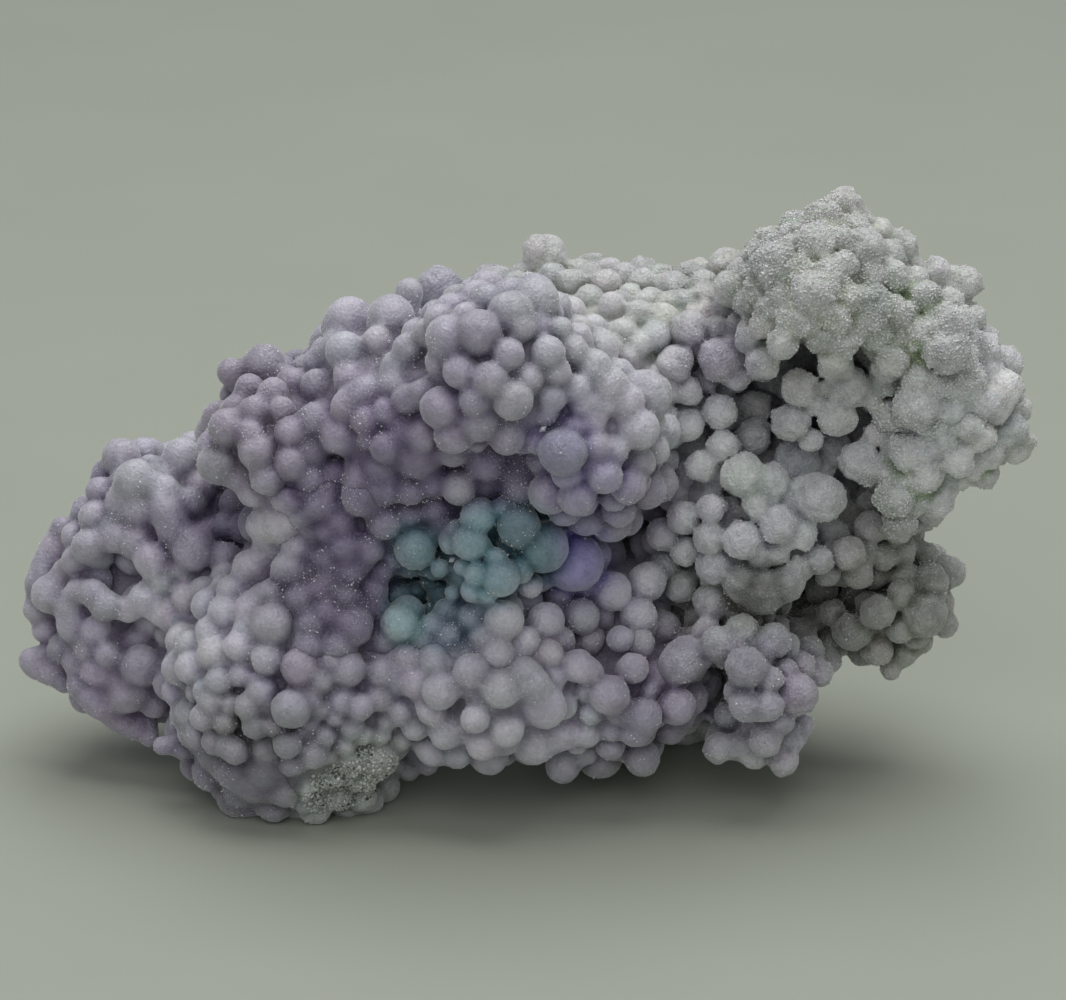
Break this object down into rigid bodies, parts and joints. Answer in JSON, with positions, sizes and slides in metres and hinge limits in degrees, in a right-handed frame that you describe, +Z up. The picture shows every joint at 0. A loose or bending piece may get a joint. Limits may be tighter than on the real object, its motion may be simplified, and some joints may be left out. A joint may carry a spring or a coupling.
{
  "type": "grape agate",
  "caption": "Lumpy specimen of grape agate: fused chalcedony beads in mauve, plum and teal with a pale frosted crust, a cave in the crust, resting on its own feet.",
  "frame": {"origin": "middle of the bounding box, on the surface that the specimen rests on", "axes": "+X along the length towards the pale crust, +Z up, -Y towards the side with the teal beads"},
  "size_m": [0.0916, 0.0414, 0.0551],
  "materials": {
    "chalcedony": "translucent, lightly frosted with tiny crystals"
  },
  "bodies": {
    "root": {"grape_agate": "chalcedony"}
  },
  "joints": []
}
